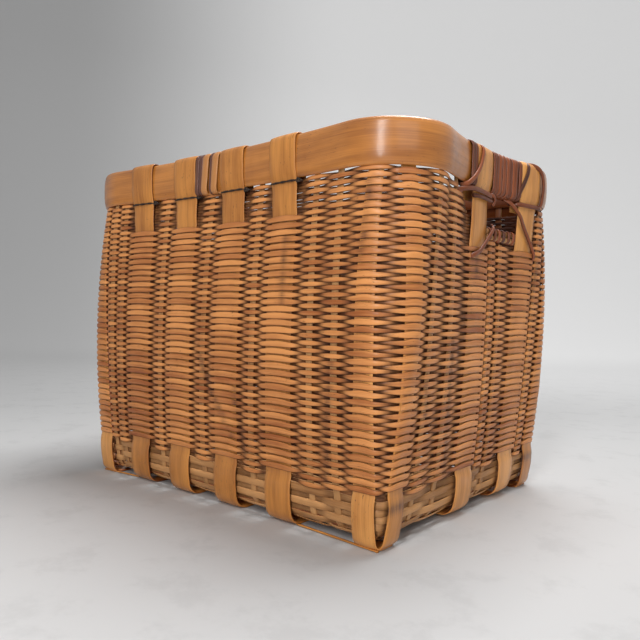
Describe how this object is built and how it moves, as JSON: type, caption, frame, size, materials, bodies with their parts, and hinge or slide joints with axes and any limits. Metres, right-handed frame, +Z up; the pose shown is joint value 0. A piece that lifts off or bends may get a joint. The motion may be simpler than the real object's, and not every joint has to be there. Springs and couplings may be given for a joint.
{
  "type": "woven bamboo basket with hand holes",
  "caption": "Deep open-topped rectangular basket of woven split bamboo with a lashed rim and a hand hole in each short side.",
  "frame": {"origin": "middle of the underside, on the surface the basket stands on", "axes": "+X along the long sides, -Y towards the front, +Z up out of the mouth"},
  "size_m": [0.5332, 0.371, 0.403],
  "materials": {
    "rim_bamboo": "satin",
    "slat_bamboo": "satin",
    "stake_bamboo": "satin",
    "woven_bamboo": "satin",
    "coarse_bamboo": "satin",
    "cane": "gloss",
    "iron_wire": "dull dark"
  },
  "bodies": {
    "root": {"border_wrap_left": "cane", "border_wrap_right": "cane", "corner_stake_back_left": "stake_bamboo", "corner_stake_back_right": "stake_bamboo", "corner_stake_front_left": "stake_bamboo", "corner_stake_front_right": "stake_bamboo", "corner_stake_left_back": "stake_bamboo", "corner_stake_left_front": "stake_bamboo", "corner_stake_right_back": "stake_bamboo", "corner_stake_right_front": "stake_bamboo", "cross_slat_1": "slat_bamboo", "cross_slat_2": "slat_bamboo", "cross_slat_3": "slat_bamboo", "cross_slat_4": "slat_bamboo", "end_slat_1": "slat_bamboo", "end_slat_2": "slat_bamboo", "floor_weave": "woven_bamboo", "handle_border_left": "cane", "handle_border_right": "cane", "handle_wrap_left": "cane", "handle_wrap_right": "cane", "inner_rim_hoop": "rim_bamboo", "lashings_left": "cane", "lashings_right": "cane", "lower_weave": "coarse_bamboo", "outer_rim_hoop": "rim_bamboo", "rim_joint_wrap_back": "cane", "rim_joint_wrap_front": "cane", "runner_back": "stake_bamboo", "runner_front": "stake_bamboo", "runner_left": "stake_bamboo", "runner_right": "stake_bamboo", "slat_ties_left": "cane", "slat_ties_right": "cane", "stakes_back": "stake_bamboo", "stakes_front": "stake_bamboo", "stakes_left": "stake_bamboo", "stakes_right": "stake_bamboo", "upper_weave": "woven_bamboo", "wire_ties_back": "iron_wire", "wire_ties_front": "iron_wire"}
  },
  "joints": []
}
